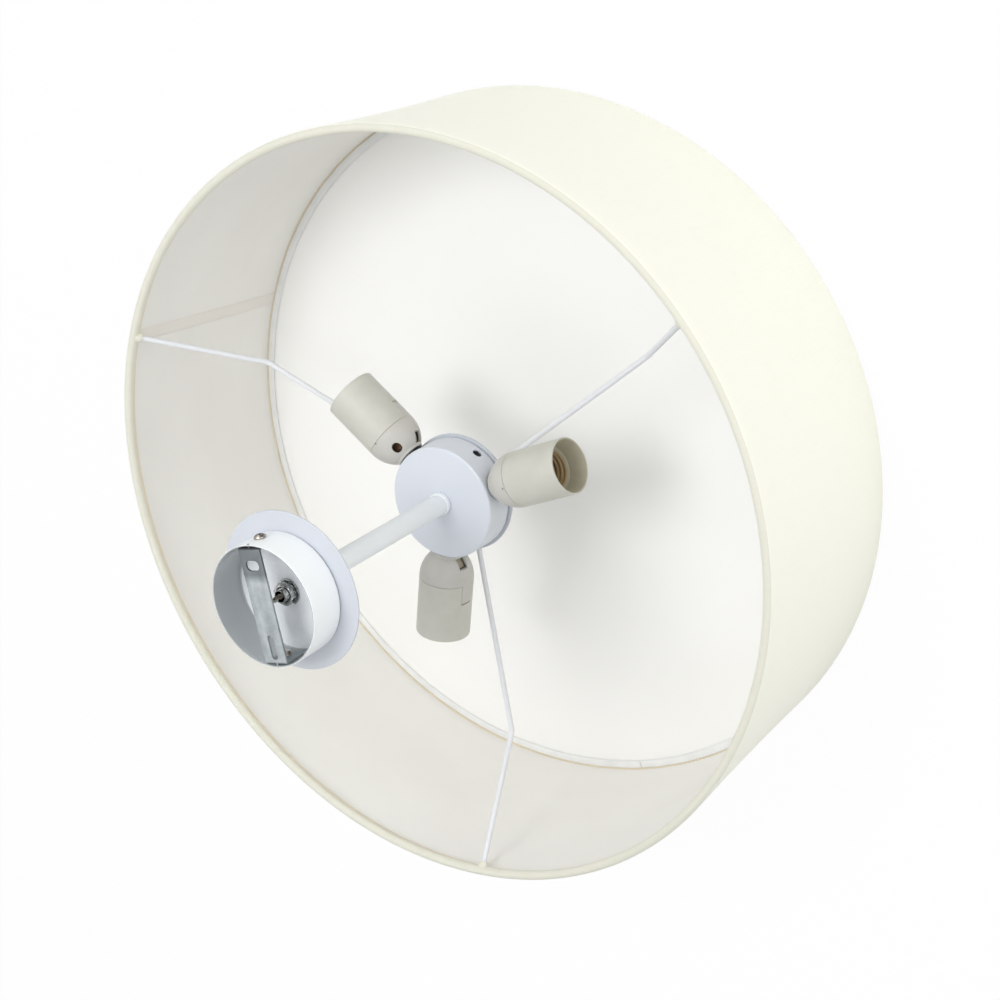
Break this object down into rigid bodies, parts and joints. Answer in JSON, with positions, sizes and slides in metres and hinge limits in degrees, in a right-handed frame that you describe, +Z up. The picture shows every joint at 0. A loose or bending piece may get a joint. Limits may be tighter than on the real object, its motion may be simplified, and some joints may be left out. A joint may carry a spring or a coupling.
{
  "type": "ceiling light",
  "caption": "Semi-flush ceiling light: fabric drum shade on a wire spider, lampholders on a hub, short stem, canopy cup and a lift-off diffuser.",
  "frame": {"origin": "centre of the mounting bracket's upper face, in the plane of the canopy cup's rim, which lies on the ceiling", "axes": "+Z up into the ceiling, +X along the mounting bracket towards its cross slot"},
  "size_m": [0.5494, 0.5498, 0.3457],
  "materials": {
    "white_powder_coat": "satin white powder coat",
    "white_hub_paint": "satin white paint",
    "white_wire_coat": "white coated steel wire",
    "zinc_plate": "galvanised steel",
    "nickel_plate": "nickel plated steel",
    "dark_steel": "dark steel washer",
    "contact_brass": "spring brass",
    "holder_plastic": "ivory thermoplastic",
    "contact_carrier": "brown thermoset",
    "shade_fabric": "cream fabric on a stiff white backing",
    "diffuser_sheet": "translucent white sheet",
    "diffuser_trim": "white edge trim",
    "lead_sheath": "grey cable sheath",
    "terminal_plastic": "white terminal block"
  },
  "bodies": {
    "fixture": {"mounting_bracket": "zinc_plate", "canopy_cup": "white_powder_coat", "canopy_disc": "white_powder_coat", "canopy_screw_1": "nickel_plate", "canopy_screw_2": "nickel_plate", "upper_nipple": "zinc_plate", "lock_washer": "zinc_plate", "lock_nut": "zinc_plate", "canopy_lead": "lead_sheath", "terminal_block": "terminal_plastic", "stem_cable": "lead_sheath", "stem_tube": "white_powder_coat", "stem_collar": "white_powder_coat", "hub_can": "white_hub_paint", "hub_cover": "white_hub_paint", "hub_nut": "zinc_plate", "cover_nut": "zinc_plate", "lower_nipple": "zinc_plate", "holder_1_dome": "holder_plastic", "holder_1_skirt": "holder_plastic", "holder_1_carrier": "contact_carrier", "holder_1_side_contact": "contact_brass", "holder_1_nipple": "nickel_plate", "holder_1_neck_ring": "dark_steel", "holder_1_nut": "nickel_plate", "holder_2_dome": "holder_plastic", "holder_2_skirt": "holder_plastic", "holder_2_carrier": "contact_carrier", "holder_2_side_contact": "contact_brass", "holder_2_nipple": "nickel_plate", "holder_2_neck_ring": "dark_steel", "holder_2_nut": "nickel_plate", "holder_3_dome": "holder_plastic", "holder_3_skirt": "holder_plastic", "holder_3_carrier": "contact_carrier", "holder_3_side_contact": "contact_brass", "holder_3_nipple": "nickel_plate", "holder_3_neck_ring": "dark_steel", "holder_3_nut": "nickel_plate"},
    "shade": {"spider": "white_wire_coat", "shade_wall": "shade_fabric", "top_ring": "white_wire_coat", "bottom_ring": "white_wire_coat"},
    "diffuser": {"diffuser_disc": "diffuser_sheet", "diffuser_band": "diffuser_trim"},
    "washer": {"retaining_washer": "zinc_plate"},
    "thumb_nut": {"thumb_nut": "contact_brass"},
    "contact_1": {"holder_1_centre_contact": "contact_brass"},
    "contact_2": {"holder_2_centre_contact": "contact_brass"},
    "contact_3": {"holder_3_centre_contact": "contact_brass"}
  },
  "joints": [
    {"name": "shade_turn", "type": "hinge", "parent": "fixture", "child": "shade", "pos_m": [0, 0, -0.2329], "axis": [0, 0, 1], "continuous": true},
    {"name": "diffuser_lift", "type": "slide", "parent": "shade", "child": "diffuser", "axis": [0, 0, 1], "range_m": [0, 0.08]},
    {"name": "washer_drop", "type": "slide", "parent": "fixture", "child": "washer", "axis": [0, 0, -1], "range_m": [0, 0.00501]},
    {"name": "thumb_nut_turn", "type": "hinge", "parent": "washer", "child": "thumb_nut", "pos_m": [0, 0, -0.2398], "axis": [0, 0, -1], "range_deg": [0, 1800]},
    {"name": "contact_1_press", "type": "slide", "parent": "fixture", "child": "contact_1", "axis": [-0.7536, -0.6574, 0], "range_m": [0, 0.0015], "stiffness_N_per_m": 1500},
    {"name": "contact_2_press", "type": "slide", "parent": "fixture", "child": "contact_2", "axis": [0.9461, -0.3239, 0], "range_m": [0, 0.0015], "stiffness_N_per_m": 1500},
    {"name": "contact_3_press", "type": "slide", "parent": "fixture", "child": "contact_3", "axis": [-0.1925, 0.9813, 0], "range_m": [0, 0.0015], "stiffness_N_per_m": 1500}
  ],
  "couplings": [
    {"joint": "washer_drop", "follows": "thumb_nut_turn", "m_per_rad": 0.00015915}
  ]
}
